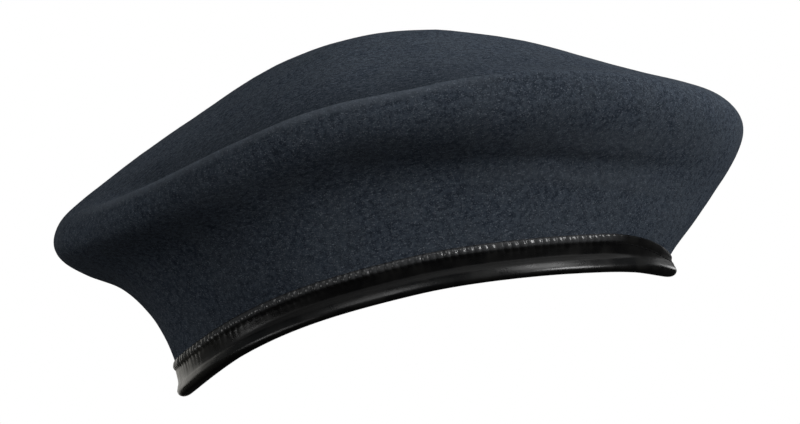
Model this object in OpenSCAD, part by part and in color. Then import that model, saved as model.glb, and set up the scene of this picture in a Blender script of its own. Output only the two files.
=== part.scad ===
// Military beret: a one-piece felt crown on a folded leather binding, in the shape it takes when worn.
// Millimetres. +Z is up, -X is the front, +X the back, -Y the wearer's left, +Y the wearer's right.
// The origin is the centre of the head opening, level with the lowest points of the binding.

/* [Head opening] */
// Distance from the origin to the felt wall at the front
ring_front = 100.3; // [99:0.1:102]
// Distance from the origin to the felt wall at the back
ring_back = 101; // [100:0.1:102]
// Distance from the origin to the felt wall at each side
ring_side = 83; // [82:0.5:84]
// How much higher the binding sits over the ears than at the forehead and nape
side_rise = 18.5; // [17:0.5:19]

/* [Crown] */
// Height of the crown's top above the origin
crown_h = 125.5; // [124:0.5:127]
// Reach of the crown's rim at the front
rim_front = 142; // [140:1:144]
// Reach of the crown's rim on the wearer's left
rim_left = 118; // [115:1:120]
// Reach of the crown's rim at the back
rim_back = 146.5; // [144:0.5:148]
// Reach of the crown's rim on the wearer's right, where the felt is pulled down
rim_right = 148; // [145:1:149]
// Thickness of the wool felt
felt_t = 2; // [1.6:0.1:2]

/* [Binding] */
// Height of the leather binding
binding_h = 14.3; // [13.5:0.1:15]
// Height of the binding at the nape, where the felt hangs over it
binding_back_h = 8; // [8:0.1:9]
// Thickness of the leather
leather_t = 0.7; // [0.5:0.1:0.7]
// Diameter of the drawstring inside the binding
cord_d = 2; // [1.6:0.1:2]

/* [Seams] */
// Length of one stitch and the gap after it
stitch_pitch = 3.2; // [3:0.1:5]
// Diameter of the sewing thread
thread_d = 0.5; // [0.4:0.05:0.5]
// Distance of the seam below the top edge of the leather
seam_drop = 2.6; // [2:0.1:2.6]

/* [Lining] */
// Thickness of the lining cloth
lining_t = 0.5; // [0.4:0.1:0.5]
// Thickness of the stiffener behind the badge place
stiffener_t = 0.8; // [0.5:0.1:0.8]
// Half width of the size label as an angle around the opening
label_half = 10; // [5:5:15]

/* [Vents] */
// Diameter of the clear hole through each eyelet
vent_d = 4.6; // [4:0.1:5]
// Diameter of each eyelet's outer flange
flange_d = 9.4; // [9:0.1:9.6]
// Angle between the two eyelets around the opening
vent_spread = 30; // [26:1:34]

/* [Hidden] */

// Angles are in degrees around +Z from +X: 0 is the back, 90 the right, 180 the front, 270 the left.
BACK = 0;
RIGHT = 90;
RING_STEP = 5;
AZIMUTHS = [for (a = [0 : RING_STEP : 359]) a];

// Each row of the crown's control net holds four radii and four heights: front, left, back, right.
// The first two rows are measured from the felt wall's ring, and the others from the origin.
FOOT = [
    [[0.2, 0, 0, 0], [5, 5, 4, 5]],
    [[1.2, 1, 1, 1], [14.5, 12, 8, 12]]
];
BODY = [
    [[103, 87, 107.5, 86], [24, 43.5, 15, 38]],
    [[107.5, 89, 116, 90], [36, 54.5, 22, 44]],
    [[117, 93, 126, 104], [49, 64, 31, 44]],
    [[131, 104, 138, 128], [57, 71, 43, 42]],
    [[rim_front, rim_left, rim_back, rim_right], [69, 78, 56, 48]],
    [[136, 120, 138, 142], [82, 92, 68, 62]],
    [[115, 106, 119, 124], [91, 96, 78.5, 74]],
    [[88, 86, 95, 98], [103, 101, 92.5, 90]],
    [[58, 58, 64, 66], [114, 112, 109, 106]],
    [[30, 30, 32, 32], [crown_h - 2, crown_h - 2.5, crown_h - 3.5, crown_h - 4.5]],
    [[0, 0, 0, 0], [crown_h, crown_h, crown_h, crown_h]]
];
TOP_ROW = len(FOOT) + len(BODY) - 1;
RIM_ROW = 6.5;

// Local pulls on the net: angle, half width, row, half height in rows, then shifts in radius and height.
PULLS = [
    [218, 50, 7, 4, -1, -12],
    [322, 40, 8.7, 2.1, 0, -4.5],
    [305, 38, 6.9, 1.9, 0, 3.6],
    [300, 60, 3, 2.5, -2, 2],
    [312, 58, 3, 1, -1, 0],
    [312, 58, 4, 1, -6, 0.5],
    [252, 58, 8, 1, 0, -4],
    [205, 35, 4.5, 1.5, 0, 3]
];
// Local lifts of the binding: angle, half width, rise.
LIFTS = [
    [226, 45, 1.4],
    [298, 30, -0.8],
    [342, 32, 1.3],
    [22, 40, 2],
    [138, 45, 2.5]
];
// Second harmonic of the binding's rise, and its tilt from front to back.
RISE_SHARE = 0.12;
RING_TILT = 1;
BACK_DIP_WIDTH = 42;

// The binding's bead from outside to inside: distance from the felt wall and height.
BEAD_H = 5;
BEAD = [
    [2.1, 5], [2.8, 3.6], [2.7, 2], [1.8, 0.6], [0.4, 0],
    [-1.6, 0.2], [-3.1, 1.3], [-3.7, 3.2], [-3.8, 5]
];
// The two flaps of the binding: distance from the felt wall and share of the height above the bead.
OUTER_FLAP = [[0.85, 1], [0.8, 0.7], [0.85, 0.43], [1.1, 0.2]];
INNER_FLAP = [[-3.8, 0.4], [-3.75, 0.86]];

// Gaps and depths below the felt's outer face.
LINING_LOW = 2.25;
LINING_DEEP = 3.4;
STIFFENER_DEPTH = felt_t + 0.3;
LABEL_T = 0.4;
LABEL_DEPTH = LINING_DEEP + lining_t + 0.3;
CORD_PLACE = [-0.5, 2.2];
CORD_SIDES = 8;
KNOT_R = 1.35;
STITCH_SHARE = 0.64;
THREAD_GAP = 0.05;

// Rows of the net that every layer shares, so that their facets stay parallel.
FINE_ROWS = [for (s = [0 : 0.25 : 1.5]) s];
COARSE_ROWS = [for (s = [2 : 0.5 : TOP_ROW - 0.5]) s];
ROWS = concat(FINE_ROWS, COARSE_ROWS);
function rows_from(low, high) = [for (s = ROWS) if (s >= low && s <= high) s];

// Rows of the net where pieces begin and end.
LINING_FOOT = 0.04;
STIFFENER_ROWS = [2, 5];
STIFFENER_ANGLES = [205, 245];
LABEL_ROWS = [2.5, 3.5];
LABEL_ANGLES = [for (a = [-label_half : RING_STEP : label_half]) BACK + a];
VENT_ROW = 4.5;
VENT_ANGLES = [RIGHT + vent_spread / 2, RIGHT - vent_spread / 2];

// Eyelet sizes along its axis, outward from the felt's face.
BARREL_R = vent_d / 2 + 0.5;
VENT_HOLE_R = BARREL_R + 0.25;
FLANGE_SEAT = -0.2;
FLANGE_T = 0.6;
WASHER_T = 0.4;
WASHER_TOP = -(LINING_DEEP + lining_t) - 0.55;
ROLL_T = 0.35;

function bell(x) = abs(x) >= 1 ? 0 : (1 + cos(180 * x)) / 2;
function turn(a, b) = ((a - b + 540) % 360) - 180;
function total(v, i = 0) = i == len(v) - 1 ? v[i] : v[i] + total(v, i + 1);
function reversed(v) = [for (i = [len(v) - 1 : -1 : 0]) v[i]];

// Value at an angle from its values at the front, left, back and right.
function wave(q, a) =
    let (mean = (q[0] + q[1] + q[2] + q[3]) / 4)
    let (fore = (q[2] - q[0]) / 2)
    let (side = (q[3] - q[1]) / 2)
    let (oval = (q[0] + q[2] - q[1] - q[3]) / 4)
    mean + fore * cos(a) + side * sin(a) + oval * cos(2 * a);

function ring_r(a) = wave([ring_front, ring_side, ring_back, ring_side], a);
function ring_z(a) =
    side_rise * (pow(sin(a), 2) + RISE_SHARE * pow(sin(2 * a), 2)) + RING_TILT * cos(a)
    + total([for (l = LIFTS) l[2] * bell(turn(a, l[0]) / l[1])]);

function pulls_at(a, row) =
    total([for (p = PULLS) bell(turn(a, p[0]) / p[1]) * bell((row - p[2]) / p[3]) * [p[4], p[5]]]);
function body_row(a, k) =
    let (row = k + len(FOOT))
    let (pull = row < TOP_ROW ? pulls_at(a, row) : [0, 0])
    [wave(BODY[k][0], a), wave(BODY[k][1], a)] + pull;

// Control points of the felt's outer face at an angle, with one more at each end.
function controls(a) =
    let (foot = [for (f = FOOT) [ring_r(a) + wave(f[0], a), ring_z(a) + wave(f[1], a)]])
    let (body = [for (k = [0 : len(BODY) - 1]) body_row(a, k)])
    let (past = body[len(body) - 2])
    concat([2 * foot[0] - foot[1]], foot, body, [[-past[0], past[1]]]);

// Cubic B-spline through the controls, its direction, and a point a depth below the outer face.
function bend(t) =
    [pow(1 - t, 3), 3 * pow(t, 3) - 6 * t * t + 4, -3 * pow(t, 3) + 3 * t * t + 3 * t + 1, pow(t, 3)] / 6;
function bend_slope(t) = [-pow(1 - t, 2), 3 * t * t - 4 * t, -3 * t * t + 2 * t + 1, t * t] / 2;
function mix(net, i, w) = w[0] * net[i] + w[1] * net[i + 1] + w[2] * net[i + 2] + w[3] * net[i + 3];
function span(net, s) = min(floor(s), len(net) - 4);
function spot(net, s) = mix(net, span(net, s), bend(s - span(net, s)));
function heading(net, s) = mix(net, span(net, s), bend_slope(s - span(net, s)));
function outward(net, s) =
    let (d = heading(net, s))
    [d[1], -d[0]] / norm(d);
function below(net, s, depth) = spot(net, s) - depth * outward(net, s);

function at(a, p) = [p[0] * cos(a), p[0] * sin(a), p[1]];
function on_crown(a, s, depth) = at(a, below(controls(a), s, depth));

// Radius of the felt wall at a height above the binding's bottom.
WALL_ROWS = [for (s = [0 : 0.25 : 2.5]) s];
function wall_table(a) =
    let (net = controls(a))
    concat([[0, ring_r(a)]], [for (s = WALL_ROWS) let (p = spot(net, s)) [p[1] - ring_z(a), p[0]]]);
function band_top(a) = binding_h - (binding_h - binding_back_h) * bell(turn(a, BACK) / BACK_DIP_WIDTH);
function flap_h(a, share) = BEAD_H + share * (band_top(a) - BEAD_H);

// The binding's visible face from its outer top edge, around the bead, to its inner top edge.
function binding_face(a) =
    let (wall = wall_table(a))
    let (outer = [for (p = OUTER_FLAP) [p[0], flap_h(a, p[1])]])
    let (inner = [for (p = INNER_FLAP) [p[0], flap_h(a, p[1])]])
    [for (p = concat(outer, BEAD, inner)) [lookup(p[1], wall) + p[0], ring_z(a) + p[1]]];
function next(v, i) = v[min(i + 1, len(v) - 1)];
function prior(v, i) = v[max(i - 1, 0)];
function path_side(v, i) =
    let (d = next(v, i) - prior(v, i))
    [d[1], -d[0]] / norm(d);
function moved(v, depth) = [for (i = [0 : len(v) - 1]) v[i] + depth * path_side(v, i)];

// Depth of the lining: close to the felt at the binding, and clear of the stiffener higher up.
function lining_depth(s) = LINING_LOW + (LINING_DEEP - LINING_LOW) * (1 - bell(min(1, max(0, s - 1))));

// Solid swept round the opening: each section is a closed loop of points at one angle.
module swept(loops, closed) {
    n = len(loops);
    m = len(loops[0]);
    last = closed ? n - 1 : n - 2;
    sides = [for (i = [0 : last], j = [0 : m - 1], half = [0, 1])
        let (k = (i + 1) % n, l = (j + 1) % m)
        half == 0 ? [i * m + j, i * m + l, k * m + l] : [i * m + j, k * m + l, k * m + j]];
    start = [for (j = [m - 1 : -1 : 0]) j];
    end = [for (j = [0 : m - 1]) (n - 1) * m + j];
    caps = closed ? [] : [start, end];
    polyhedron(points = [for (loop = loops, p = loop) p], faces = concat(sides, caps));
}

// Shell between two depths over whole turns, from one row of the net to another below the top.
module belt(rows, depths, thickness) {
    swept([for (a = AZIMUTHS)
        let (net = controls(a))
        let (outer = [for (i = [0 : len(rows) - 1]) at(a, below(net, rows[i], depths[i]))])
        let (inner = [for (i = [0 : len(rows) - 1]) at(a, below(net, rows[i], depths[i] + thickness))])
        concat(reversed(outer), inner)], true);
}

// Shell between two depths that closes over the top of the crown.
module dome(rows, depths, thickness) {
    n = len(AZIMUTHS);
    m = len(rows);
    net = controls(0);
    top = [0, 0, spot(net, TOP_ROW)[1]];
    deep = depths[m - 1];
    outer = [for (a = AZIMUTHS, i = [0 : m - 1]) on_crown(a, rows[i], depths[i])];
    inner = [for (a = AZIMUTHS, i = [0 : m - 1]) on_crown(a, rows[i], depths[i] + thickness)];
    peaks = [top - [0, 0, deep], top - [0, 0, deep + thickness]];
    skin = [for (i = [0 : n - 1], j = [0 : m - 2], half = [0, 1])
        let (k = (i + 1) % n)
        half == 0 ? [i * m + j, i * m + j + 1, k * m + j + 1] : [i * m + j, k * m + j + 1, k * m + j]];
    back = [for (f = skin) [f[0], f[2], f[1]] + n * m * [1, 1, 1]];
    hem = [for (i = [0 : n - 1], half = [0, 1])
        let (p = i * m, q = ((i + 1) % n) * m, b = n * m)
        half == 0 ? [p, q, b + q] : [p, b + q, b + p]];
    caps = [for (i = [0 : n - 1], side = [0, 1])
        let (p = i * m + m - 1, q = ((i + 1) % n) * m + m - 1, b = n * m)
        side == 0 ? [p, 2 * b, q] : [b + p, b + q, 2 * b + 1]];
    polyhedron(points = concat(outer, inner, peaks), faces = concat(skin, back, hem, caps));
}

// Rectangular patch of the crown between two depths.
module patch(angles, rows, depth, thickness) {
    swept([for (a = angles)
        let (net = controls(a))
        let (outer = [for (s = rows) at(a, below(net, s, depth))])
        let (inner = [for (s = rows) at(a, below(net, s, depth + thickness))])
        concat(reversed(outer), inner)], false);
}

function loop_length(points) =
    total([for (i = [0 : len(points) - 1]) norm(points[(i + 1) % len(points)] - points[i])]);

// One stitch: a short length of thread between two points.
module stitch(p, q) {
    d = q - p;
    translate(p)
        rotate([0, acos(d[2] / norm(d)), atan2(d[1], d[0])])
            cylinder(d = thread_d, h = norm(d), $fn = 24);
}

// Distance of the binding's outer face from the felt wall at a height.
function face_out(a, h) =
    let (flap = [for (p = reversed(OUTER_FLAP)) [flap_h(a, p[1]), p[0]]])
    lookup(h, concat([[BEAD[1][1], BEAD[1][0]], [BEAD[0][1], BEAD[0][0]]], flap));
function thread_lift() = thread_d / 2 + THREAD_GAP;
function outer_seam_at(a) =
    let (h = band_top(a) - seam_drop)
    at(a, [lookup(h, wall_table(a)) + face_out(a, h) + thread_lift(), ring_z(a) + h]);
function inner_seam_at(a) =
    let (h = flap_h(a, 0.6))
    at(a, [lookup(h, wall_table(a)) + INNER_FLAP[0][0] - thread_lift(), ring_z(a) + h]);
function lining_seam_at(a) = on_crown(a, RIM_ROW, LINING_DEEP + lining_t + thread_lift());

SEAM_STITCHES = round(loop_length([for (a = AZIMUTHS) outer_seam_at(a)]) / stitch_pitch);
LINING_STITCHES = 120;

module felt_crown() {
    color("#323a46")
        difference() {
            dome(ROWS, [for (s = ROWS) 0], felt_t);
            for (a = VENT_ANGLES)
                at_vent(a) {
                    translate([0, 0, -felt_t - 2])
                        cylinder(r = VENT_HOLE_R, h = felt_t + 4, $fn = 48);
                    translate([0, 0, FLANGE_SEAT])
                        cylinder(d = flange_d + 0.6, h = 3, $fn = 48);
                }
        }
}

module leather_binding() {
    gap = 0.2;
    angles = concat([gap], [for (a = [RING_STEP : RING_STEP : 359]) a], [360 - gap]);
    color("#141414")
        swept([for (a = angles)
            let (face = binding_face(a))
            [for (p = concat(face, reversed(moved(face, leather_t)))) at(a, p)]], false);
}

module drawstring() {
    centre = [for (a = AZIMUTHS) [ring_r(a) + CORD_PLACE[0], ring_z(a) + CORD_PLACE[1]]];
    turns = [for (i = [0 : CORD_SIDES - 1]) i * 360 / CORD_SIDES];
    sides = [for (t = turns) cord_d / 2 * [cos(t), sin(t)]];
    color("#1c1c1c") {
        swept([for (i = [0 : len(AZIMUTHS) - 1]) [for (p = sides) at(AZIMUTHS[i], centre[i] + p)]], true);
        translate(at(BACK, centre[0]))
            sphere(r = KNOT_R, $fn = 32);
    }
}

module outer_seam_thread() {
    pitch = 360 / SEAM_STITCHES;
    color("#202225")
        for (i = [0 : SEAM_STITCHES - 1])
            stitch(outer_seam_at(i * pitch), outer_seam_at((i + STITCH_SHARE) * pitch));
}

module inner_seam_thread() {
    pitch = 360 / SEAM_STITCHES;
    color("#202225")
        for (i = [0 : SEAM_STITCHES - 1])
            stitch(inner_seam_at(i * pitch), inner_seam_at((i + STITCH_SHARE) * pitch));
}

module join_seam_thread() {
    bridge = 1.1;
    heights = [2, 3.4, 4.8];
    color("#202225")
        for (h = heights) {
            side = lookup(h, [[2, 2.75], [3.6, 2.8], [5, 2.1]]) + thread_lift() + 0.05;
            stitch(at(BACK - bridge, [ring_r(BACK) + side, ring_z(BACK) + h]),
                   at(BACK + bridge, [ring_r(BACK) + side, ring_z(BACK) + h + 0.6]));
        }
}

module lining_top() {
    rows = concat([RIM_ROW + 0.03], rows_from(RIM_ROW + 0.1, TOP_ROW));
    color("#17191d")
        dome(rows, [for (s = rows) LINING_DEEP], lining_t);
}

module lining_side() {
    rows = concat([LINING_FOOT], rows_from(LINING_FOOT, RIM_ROW - 0.1), [RIM_ROW - 0.03]);
    color("#17191d")
        difference() {
            belt(rows, [for (s = rows) lining_depth(s)], lining_t);
            for (a = VENT_ANGLES)
                at_vent(a)
                    translate([0, 0, -LINING_DEEP - 3])
                        cylinder(r = VENT_HOLE_R, h = 5, $fn = 48);
        }
}

module lining_seam_thread() {
    pitch = 360 / LINING_STITCHES;
    color("#25282d")
        for (i = [0 : LINING_STITCHES - 1])
            stitch(lining_seam_at(i * pitch), lining_seam_at((i + STITCH_SHARE) * pitch));
}

module badge_stiffener() {
    angles = [for (a = AZIMUTHS) if (a >= STIFFENER_ANGLES[0] && a <= STIFFENER_ANGLES[1]) a];
    color("#2a2a28")
        patch(angles, rows_from(STIFFENER_ROWS[0], STIFFENER_ROWS[1]), STIFFENER_DEPTH, stiffener_t);
}

module size_label() {
    color("#c9c7be")
        patch(LABEL_ANGLES, rows_from(LABEL_ROWS[0], LABEL_ROWS[1]), LABEL_DEPTH, LABEL_T);
}

module label_thread() {
    depth = LABEL_DEPTH + LABEL_T + thread_lift() + 0.1;
    reach = label_half - 1;
    columns = 12;
    step = 2 * reach / columns;
    color("#8d8b84")
        for (i = [0 : columns - 1], s = [LABEL_ROWS[0] + 0.1, LABEL_ROWS[1] - 0.1])
            stitch(on_crown(BACK - reach + i * step, s, depth),
                   on_crown(BACK - reach + (i + STITCH_SHARE) * step, s, depth));
}

// Places children at a vent, with +Z out of the felt.
module at_vent(a) {
    net = controls(a);
    n = outward(net, VENT_ROW);
    translate(at(a, spot(net, VENT_ROW)))
        rotate([0, acos(n[1]), a + (n[0] < 0 ? 180 : 0)])
            children();
}

module eyelet(a) {
    bottom = WASHER_TOP - WASHER_T - 0.05 - ROLL_T;
    color("#24262a")
        at_vent(a)
            rotate_extrude($fn = 96)
                polygon([
                    [vent_d / 2, bottom], [BARREL_R + 1, bottom], [BARREL_R + 1, bottom + ROLL_T],
                    [BARREL_R, bottom + ROLL_T], [BARREL_R, FLANGE_SEAT + 0.05],
                    [flange_d / 2, FLANGE_SEAT + 0.05], [flange_d / 2, FLANGE_SEAT + FLANGE_T - 0.25],
                    [flange_d / 2 - 0.3, FLANGE_SEAT + FLANGE_T], [vent_d / 2 + 0.2, FLANGE_SEAT + FLANGE_T],
                    [vent_d / 2, FLANGE_SEAT + FLANGE_T - 0.2]
                ]);
}

module eyelet_washer(a) {
    color("#8f7a45")
        at_vent(a)
            translate([0, 0, WASHER_TOP - WASHER_T])
                difference() {
                    cylinder(d = flange_d + 0.4, h = WASHER_T, $fn = 96);
                    translate([0, 0, -1])
                        cylinder(r = BARREL_R + 0.05, h = WASHER_T + 2, $fn = 96);
                }
}

module eyelet_front() { eyelet(VENT_ANGLES[0]); }
module eyelet_rear() { eyelet(VENT_ANGLES[1]); }
module eyelet_washer_front() { eyelet_washer(VENT_ANGLES[0]); }
module eyelet_washer_rear() { eyelet_washer(VENT_ANGLES[1]); }

felt_crown();
leather_binding();
drawstring();
outer_seam_thread();
inner_seam_thread();
join_seam_thread();
lining_top();
lining_side();
lining_seam_thread();
badge_stiffener();
size_label();
label_thread();
eyelet_front();
eyelet_rear();
eyelet_washer_front();
eyelet_washer_rear();
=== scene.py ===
"""Military beret: wool felt crown on a stitched leather binding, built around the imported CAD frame."""
import math
import random

import bmesh
import bpy
import numpy as np
from mathutils import Matrix, Vector, noise

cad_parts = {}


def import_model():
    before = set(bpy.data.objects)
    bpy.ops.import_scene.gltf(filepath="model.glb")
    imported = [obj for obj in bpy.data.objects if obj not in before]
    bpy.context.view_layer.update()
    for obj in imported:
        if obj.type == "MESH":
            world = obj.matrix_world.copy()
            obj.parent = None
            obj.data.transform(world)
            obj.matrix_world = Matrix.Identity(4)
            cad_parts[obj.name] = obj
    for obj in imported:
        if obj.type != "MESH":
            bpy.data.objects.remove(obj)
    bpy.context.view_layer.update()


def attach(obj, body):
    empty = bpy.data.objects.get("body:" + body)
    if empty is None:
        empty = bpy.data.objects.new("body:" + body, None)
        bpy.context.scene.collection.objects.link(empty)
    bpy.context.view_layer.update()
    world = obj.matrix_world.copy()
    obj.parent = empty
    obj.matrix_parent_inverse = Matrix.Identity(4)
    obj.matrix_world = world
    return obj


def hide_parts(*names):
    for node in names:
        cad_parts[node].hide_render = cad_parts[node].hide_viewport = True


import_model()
MM = 0.001

# ---------------------------------------------------------------- camera
VIEW_DISTANCE = 1.1
VIEW_ELEVATION = math.radians(-1.5)
VIEW_ROLL = math.radians(12.9)
VIEW_TARGET = Vector((0.0004, 0, 0.0522))
VIEW_WIDTH = 0.324  # width of the view at the target


def make_camera():
    """Looks along +Y from a little below, rolled so that the back of the beret is higher."""
    data = bpy.data.cameras.new("camera")
    data.sensor_width = 36
    data.lens = data.sensor_width * VIEW_DISTANCE / VIEW_WIDTH
    data.clip_start = 0.05
    data.clip_end = 20
    camera = bpy.data.objects.new("camera", data)
    bpy.context.collection.objects.link(camera)
    back = Vector((0, -math.cos(VIEW_ELEVATION), math.sin(VIEW_ELEVATION)))
    level_right = Vector((1, 0, 0))
    level_up = back.cross(level_right)
    right = math.cos(VIEW_ROLL) * level_right - math.sin(VIEW_ROLL) * level_up
    up = math.sin(VIEW_ROLL) * level_right + math.cos(VIEW_ROLL) * level_up
    turn_to = Matrix((right, up, back)).transposed().to_4x4()
    camera.matrix_world = Matrix.Translation(VIEW_TARGET + VIEW_DISTANCE * back) @ turn_to
    bpy.context.scene.camera = camera


make_camera()

# ---------------------------------------------------------------- the felt's shape
# The same control net as the CAD model's, in millimetres. Angles are in degrees around +Z from +X:
# 0 is the back, 90 the wearer's right, 180 the front, 270 the wearer's left.
BACK, RIGHT, FOREHEAD = 0, 90, 186
RING = (100.3, 83, 101, 83)
SIDE_RISE = 18.5
RISE_SHARE = 0.12
# Each row of the net has its radii, then its heights, at the front, left, back and right. The foot rows
# count from the binding's bottom edge.
FOOT = [
    ((0.2, 0, 0, 0), (5, 5, 4, 5)),
    ((1.2, 1, 1, 1), (14.5, 12, 8, 12)),
]
BODY = [
    ((103, 87, 107.5, 86), (24, 43.5, 15, 38)),
    ((107.5, 89, 116, 90), (36, 54.5, 22, 44)),
    ((117, 93, 126, 104), (49, 64, 31, 44)),
    ((131, 104, 138, 128), (57, 71, 43, 42)),
    ((142, 118, 146.5, 148), (69, 78, 56, 48)),
    ((136, 120, 138, 142), (82, 92, 68, 62)),
    ((115, 106, 119, 124), (91, 96, 78.5, 74)),
    ((88, 86, 95, 98), (103, 101, 92.5, 90)),
    ((58, 58, 64, 66), (114, 112, 109, 106)),
    ((30, 30, 32, 32), (123.5, 123, 122, 121)),
    ((0, 0, 0, 0), (125.5, 125.5, 125.5, 125.5)),
]
TOP_ROW = len(FOOT) + len(BODY) - 1
RIM_ROW = 6.5
# Local changes to the net: angle, half width, row, half rows, change of radius, change of height.
PULLS = [
    (218, 50, 7, 4, -1, -12),
    (322, 40, 8.7, 2.1, 0, -4.5),
    (305, 38, 6.9, 1.9, 0, 3.6),
    (300, 60, 3, 2.5, -2, 2),
    (312, 58, 3, 1, -1, 0),
    (312, 58, 4, 1, -6, 0.5),
    (252, 58, 8, 1, 0, -5),
    (205, 35, 4.5, 1.5, 0, 3),
]
# Local lifts of the binding: angle, half width, rise.
LIFTS = [(226, 45, 1.4), (298, 30, -0.8), (342, 32, 1.3), (22, 40, 2), (138, 45, 2.5)]


def bell(x):
    """Smooth bump: 1 at 0, and 0 from 1 outwards."""
    return np.where(np.abs(x) >= 1, 0.0, (1 + np.cos(np.pi * np.clip(x, -1, 1))) / 2)


def turn(a, b):
    """Signed angle from b to a, from -180 to 180."""
    return (a - b + 540) % 360 - 180


def wave(q, a):
    """Value at angle a from the values at the front, left, back and right."""
    front, left, back, right = q
    c = np.radians(a)
    return (
        (front + left + back + right) / 4
        + (back - front) / 2 * np.cos(c)
        + (right - left) / 2 * np.sin(c)
        + (front + back - left - right) / 4 * np.cos(2 * c)
    )


def ring_r(a):
    """Radius of the head opening."""
    return wave(RING, a)


def ring_z(a):
    """Height of the binding's bottom, which rises at the sides."""
    c = np.radians(a)
    z = SIDE_RISE * (np.sin(c) ** 2 + RISE_SHARE * np.sin(2 * c) ** 2) + np.cos(c)
    for angle, half, rise in LIFTS:
        z = z + rise * bell(turn(a, angle) / half)
    return z


def controls(a):
    """Control points (radius, height) of the outer face for an array of angles: angles x rows x 2."""
    rows = [np.stack([ring_r(a) + wave(r, a), ring_z(a) + wave(z, a)], -1) for r, z in FOOT]
    rows += [np.stack([wave(r, a), wave(z, a)], -1) for r, z in BODY]
    for angle, half, row, half_rows, dr, dz in PULLS:
        for k in range(len(FOOT), TOP_ROW):
            share = bell(turn(a, angle) / half) * bell((k - row) / half_rows)
            rows[k] = rows[k] + share[:, None] * np.array([dr, dz])
    first = 2 * rows[0] - rows[1]
    past = rows[-2] * np.array([-1, 1])
    return np.stack([first, *rows, past], 1)


def spline(net, s):
    """Points and outward directions at rows s of a net: angles x rows x 2 each."""
    span = np.minimum(np.floor(s).astype(int), net.shape[1] - 4)
    t = s - span
    bend = [(1 - t) ** 3, 3 * t**3 - 6 * t * t + 4, -3 * t**3 + 3 * t * t + 3 * t + 1, t**3]
    slope = [-((1 - t) ** 2), 3 * t * t - 4 * t, -3 * t * t + 2 * t + 1, t * t]
    spot = sum(w[None, :, None] / 6 * net[:, span + k] for k, w in enumerate(bend))
    way = sum(w[None, :, None] / 2 * net[:, span + k] for k, w in enumerate(slope))
    out = np.stack([way[..., 1], -way[..., 0]], -1)
    return spot, out / np.linalg.norm(out, axis=-1, keepdims=True)


def lift_to_3d(a, flat):
    """(radius, height) at each angle to points in millimetres."""
    c = np.radians(a)
    while c.ndim < flat.ndim - 1:
        c = c[:, None]
    return np.stack([flat[..., 0] * np.cos(c), flat[..., 0] * np.sin(c), flat[..., 1]], -1)


def on_crown(a, s, depth):
    """Points at paired angles and rows, a depth below the felt's outer face."""
    a, s, depth = np.broadcast_arrays(*(np.atleast_1d(np.asarray(x, float)) for x in (a, s, depth)))
    spots = []
    for angle, row, d in zip(a, s, depth):
        p, n = spline(controls(np.array([angle])), np.array([row]))
        spots.append(lift_to_3d(np.array([angle]), p - d * n)[0, 0])
    return np.array(spots)


def ripple(points, size, seed):
    """Smooth noise between -1 and 1 at points in millimetres, with lumps of a size in millimetres."""
    flat = points.reshape(-1, 3) / size + seed
    return np.array([noise.noise(Vector(p)) for p in flat]).reshape(points.shape[:-1])


# ---------------------------------------------------------------- mesh helpers
def new_object(name, points, faces, material, smooth=True):
    """A mesh object from points in millimetres."""
    mesh = bpy.data.meshes.new(name)
    mesh.from_pydata((np.asarray(points) * MM).tolist(), [], faces)
    mesh.validate()
    piece = bpy.data.objects.new(name, mesh)
    bpy.context.collection.objects.link(piece)
    if smooth:
        mesh.polygons.foreach_set("use_smooth", [True] * len(mesh.polygons))
    mesh.materials.append(material)
    return piece


def grid_faces(n, m, wrap_n, wrap_m, start=0, flip=False):
    """Quads of an n x m grid of points."""
    i, j = np.meshgrid(np.arange(n if wrap_n else n - 1), np.arange(m if wrap_m else m - 1), indexing="ij")
    k, l = (i + 1) % n, (j + 1) % m
    quads = np.stack([i * m + j, k * m + j, k * m + l, i * m + l], -1).reshape(-1, 4) + start
    return (quads[:, ::-1] if flip else quads).tolist()


def shell(name, outer, inner, material, wrap=True, tops=None):
    """A closed sheet between two n x m grids: round the opening if wrap, over the top if tops is given."""
    n, m = outer.shape[:2]
    size = n * m
    points = np.concatenate([outer.reshape(-1, 3), inner.reshape(-1, 3)])
    faces = grid_faces(n, m, wrap, False) + grid_faces(n, m, wrap, False, size, True)
    hem = range(n if wrap else n - 1)
    faces += [[i * m, size + i * m, size + (i + 1) % n * m, (i + 1) % n * m] for i in hem]
    end = m - 1
    if tops is None:
        for i in hem:
            here, there = i * m + end, (i + 1) % n * m + end
            faces.append([here, there, size + there, size + here])
    else:
        points = np.concatenate([points, np.asarray(tops)])
        faces += [[i * m + end, (i + 1) % n * m + end, 2 * size] for i in range(n)]
        faces += [[size + (i + 1) % n * m + end, size + i * m + end, 2 * size + 1] for i in range(n)]
    if not wrap:
        last = (n - 1) * m
        faces += [[j, j + 1, size + j + 1, size + j] for j in range(m - 1)]
        faces += [[last + j + 1, last + j, size + last + j, size + last + j + 1] for j in range(m - 1)]
    return new_object(name, points, faces, material)


def loft(name, loops, material, wrap):
    """A closed solid through loops of points: n loops x m points."""
    n, m = loops.shape[:2]
    faces = grid_faces(n, m, wrap, True)
    if not wrap:
        faces += [list(range(m)), [(n - 1) * m + j for j in range(m - 1, -1, -1)]]
    return new_object(name, loops.reshape(-1, 3), faces, material)


def frames_along(path):
    """Directions along a path and two directions across it."""
    way = np.gradient(path, axis=0)
    way /= np.linalg.norm(way, axis=1, keepdims=True)
    across = np.cross(way, [0, 0, 1.0])
    weak = np.linalg.norm(across, axis=1) < 0.2
    across[weak] = np.cross(way[weak], [1.0, 0, 0])
    across /= np.linalg.norm(across, axis=1, keepdims=True)
    return way, across, np.cross(across, way)


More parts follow.
